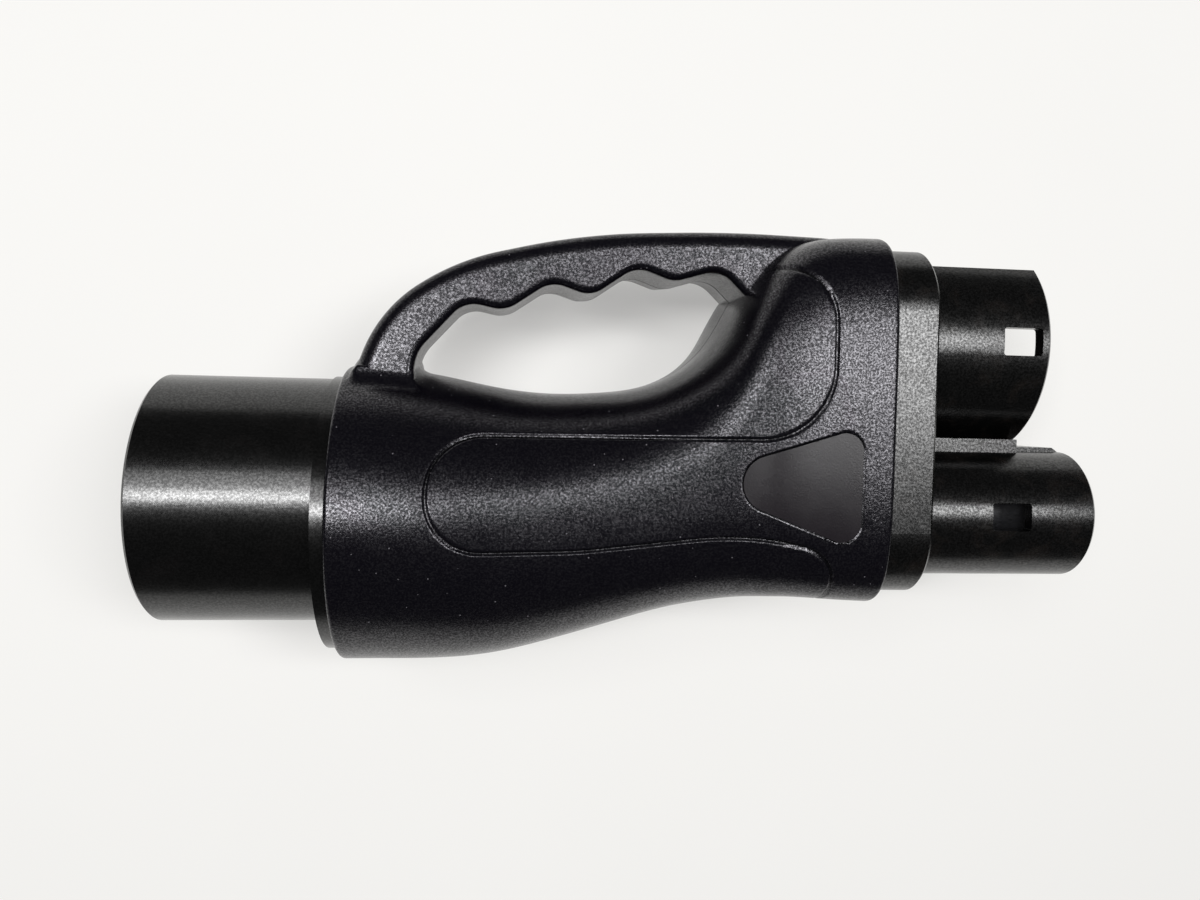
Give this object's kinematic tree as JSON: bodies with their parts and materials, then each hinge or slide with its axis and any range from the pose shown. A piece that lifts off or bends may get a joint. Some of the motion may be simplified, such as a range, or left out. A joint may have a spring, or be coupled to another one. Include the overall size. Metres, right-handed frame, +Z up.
{
  "type": "electric vehicle charging adapter",
  "caption": "Black moulded direct-current charging adapter with a looped handle, a round charger-side inlet and a two-shell car-side plug.",
  "frame": {"origin": "middle of the adapter's box, on the surface that it lies on", "axes": "+X along the inlet tube's axis, from its mouth to the car-side plug; +Y from the belly to the handle; +Z up, through the parting plane of the housing to the side that the label is on"},
  "size_m": [0.2682, 0.1285, 0.0876],
  "materials": {
    "housing": "fine spark-eroded grain",
    "fittings": "smooth satin",
    "cores": "smooth, even",
    "label": "smooth, bare",
    "gaskets": "soft matt",
    "contacts": "silver plated",
    "busbars": "bare copper",
    "screws": "zinc plated",
    "leads": "insulated",
    "wires": "insulated",
    "board": "solder mask",
    "chips": "moulded",
    "connectors": "moulded",
    "sensors": "moulded"
  },
  "bodies": {
    "root": {"housing_near": "housing", "housing_far": "housing", "label_plate": "label", "housing_screws": "screws", "inlet_shell": "fittings", "inlet_gasket": "gaskets", "inlet_core": "cores", "inlet_power_sleeves": "cores", "inlet_earth_sleeve": "cores", "inlet_signal_sleeves": "cores", "inlet_core_screws": "screws", "inlet_dc_positive": "contacts", "inlet_dc_negative": "contacts", "inlet_earth_pin": "contacts", "inlet_signal_pins": "contacts", "plug_body": "fittings", "plug_upper_core": "cores", "plug_phase_sleeves": "cores", "plug_pilot_sleeves": "cores", "plug_earth_sleeve": "cores", "plug_lower_core": "cores", "plug_power_sleeves": "cores", "plug_dc_positive": "contacts", "plug_dc_negative": "contacts", "plug_earth_contact": "contacts", "plug_pilot_contacts": "contacts", "plug_back_plate": "cores", "plug_back_screws": "screws", "plug_gasket": "gaskets", "busbar_positive": "busbars", "busbar_negative": "busbars", "busbar_bolts": "screws", "bar_spacer": "cores", "temperature_sensors": "sensors", "earth_lead": "leads", "signal_loom": "wires", "pilot_loom": "wires", "control_board": "board", "board_chip": "chips", "board_converter": "chips", "board_header": "connectors", "pilot_header": "connectors", "board_screws": "screws"}
  },
  "joints": []
}
